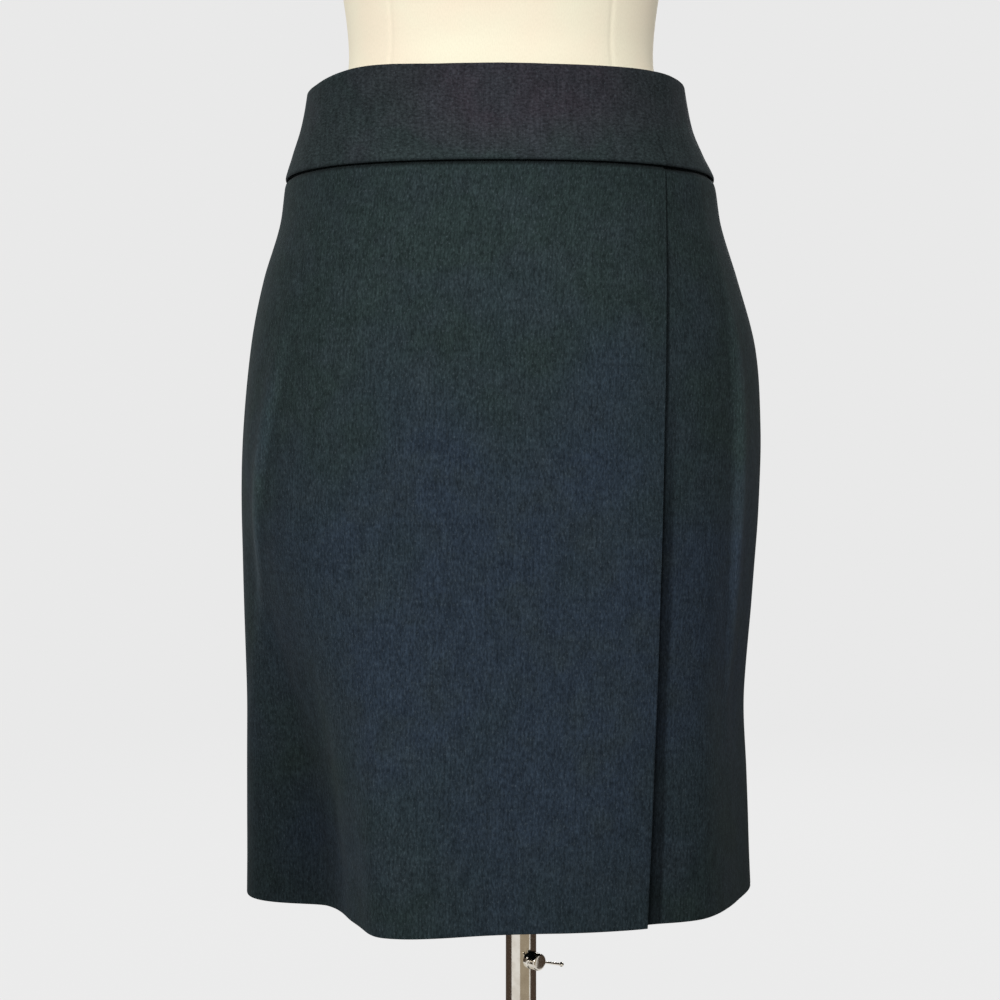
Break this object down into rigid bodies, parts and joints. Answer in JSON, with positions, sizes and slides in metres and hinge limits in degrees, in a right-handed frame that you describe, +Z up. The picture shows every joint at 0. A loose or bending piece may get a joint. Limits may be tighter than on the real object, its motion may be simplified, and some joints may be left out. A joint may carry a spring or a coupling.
{
  "type": "pencil skirt on a dress form with a stand",
  "caption": "Knee-length pencil skirt with a wide waistband and an overlapped front, resting on a limbless dress form on a pole stand with a round foot.",
  "frame": {"origin": "centre of the base plate's underside, on the axis of the pole; the skirt and form stand 15 mm to the -X side of it, as in the picture", "axes": "+Z up along the pole, -Y towards the front of the skirt, +X to the right of somebody who looks at its front"},
  "size_m": [0.3896, 0.35, 1.48],
  "materials": {
    "wool_cloth": "heathered dark charcoal wool suiting, matt with a little nap",
    "zip_tape": "dark woven zip tape",
    "zip_metal": "dark lacquered zip metal, satin",
    "form_cover": "cream cotton jersey over a padded torso",
    "chrome_steel": "bright chromed steel",
    "base_enamel": "dark grey enamelled steel plate"
  },
  "bodies": {
    "stand": {"base_plate": "base_enamel", "base_hub": "chrome_steel", "stand_tube": "chrome_steel"},
    "rod": {"rod": "chrome_steel"},
    "form": {"form_body": "form_cover", "front_panel": "wool_cloth", "front_under_panel": "wool_cloth", "back_left_panel": "wool_cloth", "back_right_panel": "wool_cloth", "waistband_front": "wool_cloth", "waistband_back_left": "wool_cloth", "waistband_back_right": "wool_cloth", "zip_tape": "zip_tape", "zip_slider": "zip_metal"},
    "clamp_screw": {"clamp_screw": "chrome_steel"},
    "clamp_bar": {"clamp_bar": "chrome_steel"},
    "zip_pull": {"zip_pull": "zip_metal"}
  },
  "joints": [
    {"name": "stand_height", "type": "slide", "parent": "stand", "child": "rod", "axis": [0, 0, 1], "range_m": [-0.135, 0.13]},
    {"name": "form_turn", "type": "hinge", "parent": "rod", "child": "form", "pos_m": [0, 0, 0.8], "axis": [0, 0, 1], "continuous": true},
    {"name": "clamp_turn", "type": "hinge", "parent": "stand", "child": "clamp_screw", "pos_m": [0, 0, 0.365], "axis": [0.6428, -0.766, 0], "continuous": true},
    {"name": "clamp_bar_slide", "type": "slide", "parent": "clamp_screw", "child": "clamp_bar", "axis": [-0.7371, -0.6185, 0.2723], "range_m": [0, 0.0174]},
    {"name": "zip_pull_swing", "type": "hinge", "parent": "form", "child": "zip_pull", "pos_m": [-0.015, 0.09368, 1.00079], "axis": [1, 0, 0], "range_deg": [0, 150]}
  ]
}
